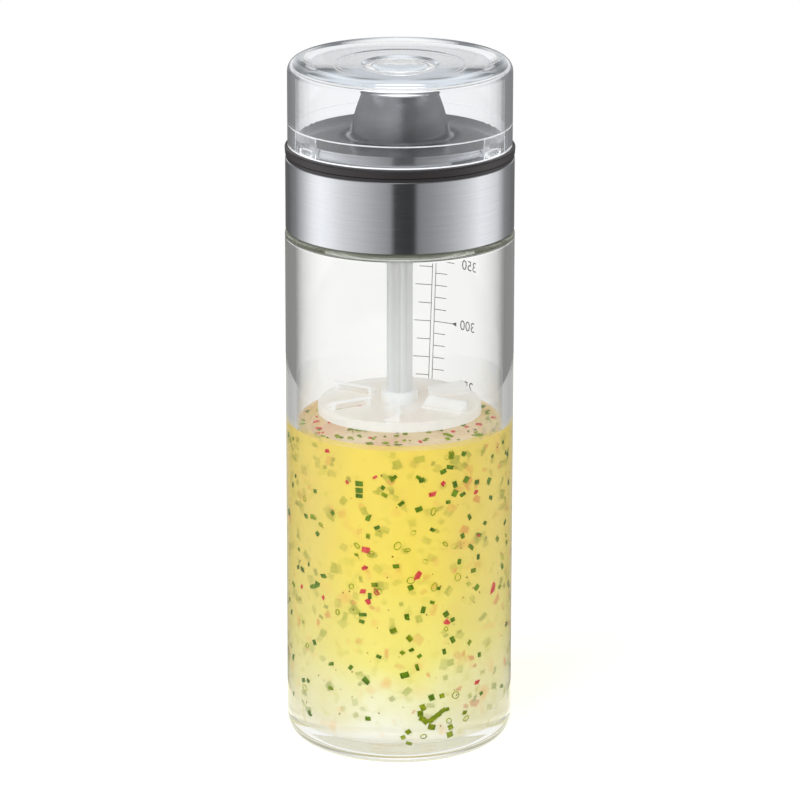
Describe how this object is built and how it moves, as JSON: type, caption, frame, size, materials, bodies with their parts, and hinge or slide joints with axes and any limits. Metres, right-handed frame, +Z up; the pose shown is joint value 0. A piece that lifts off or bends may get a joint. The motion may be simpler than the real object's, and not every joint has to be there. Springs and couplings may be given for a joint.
{
  "type": "salad dressing shaker bottle",
  "caption": "Cylindrical glass shaker bottle with a steel-sleeved pouring head, clear bayonet cap, and a louvred mixing disc hung on a rod inside.",
  "frame": {"origin": "middle of the foot, on the surface the bottle stands on", "axes": "+Z up along the bottle's axis, -Y towards the front of the picture, +X to its right"},
  "size_m": [0.065, 0.065, 0.2],
  "materials": {
    "clear_glass": "polished, clear, faintly green in its thick parts",
    "clear_plastic": "clear, glossy",
    "steel": "brushed round the axis",
    "dark_silicone": "satin",
    "white_silicone": "satin",
    "frosted_plastic": "frosted, translucent white",
    "grey_plastic": "satin"
  },
  "bodies": {
    "bottle": {"glass_bottle": "clear_glass"},
    "rim_seal": {"neck_gasket": "white_silicone"},
    "head": {"lock_ring": "frosted_plastic", "steel_collar": "steel", "cap_gasket": "dark_silicone", "cap_seat": "grey_plastic", "spout_plate": "steel", "pouring_insert": "grey_plastic", "rod_holder": "frosted_plastic"},
    "mixer": {"mixing_rod": "frosted_plastic", "mixing_disc": "frosted_plastic"},
    "plug": {"cap_seal": "white_silicone"},
    "cap": {"clear_cap": "clear_plastic"}
  },
  "joints": [
    {"name": "head_lift", "type": "slide", "parent": "bottle", "child": "rim_seal", "axis": [0, 0, 1], "range_m": [0, 0.1]},
    {"name": "head_turn", "type": "hinge", "parent": "rim_seal", "child": "head", "pos_m": [0, 0, 0.162], "axis": [0, 0, 1], "range_deg": [-40, 0]},
    {"name": "mixer_pull", "type": "slide", "parent": "head", "child": "mixer", "axis": [0, 0, 1], "range_m": [-0.012, 0]},
    {"name": "cap_lift", "type": "slide", "parent": "head", "child": "plug", "axis": [0, 0, 1], "range_m": [0, 0.04]},
    {"name": "cap_turn", "type": "hinge", "parent": "plug", "child": "cap", "pos_m": [0, 0, 0.177], "axis": [0, 0, 1], "range_deg": [-25, 0]}
  ]
}
